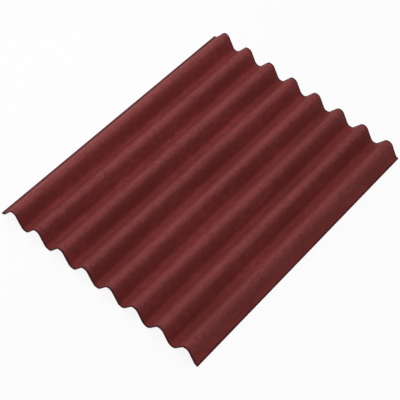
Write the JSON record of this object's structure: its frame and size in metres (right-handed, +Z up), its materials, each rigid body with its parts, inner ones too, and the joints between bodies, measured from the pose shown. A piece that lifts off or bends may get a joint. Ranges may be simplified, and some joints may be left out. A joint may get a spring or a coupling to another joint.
{
  "type": "corrugated roofing sheet",
  "caption": "Flat-lying roofing board pressed into round waves along its length, with square-cut ends, that sheds rain and laps over its neighbours.",
  "frame": {"origin": "under the middle of the sheet, at the level of the undersides of the valleys, which is the floor that the sheet lies on", "axes": "+X across the waves, +Y along the waves and the sheet's length, +Z up to the weather side"},
  "size_m": [0.76, 1, 0.05],
  "materials": {
    "board": "matte"
  },
  "bodies": {
    "root": {"corrugated_sheet": "board"}
  },
  "joints": []
}
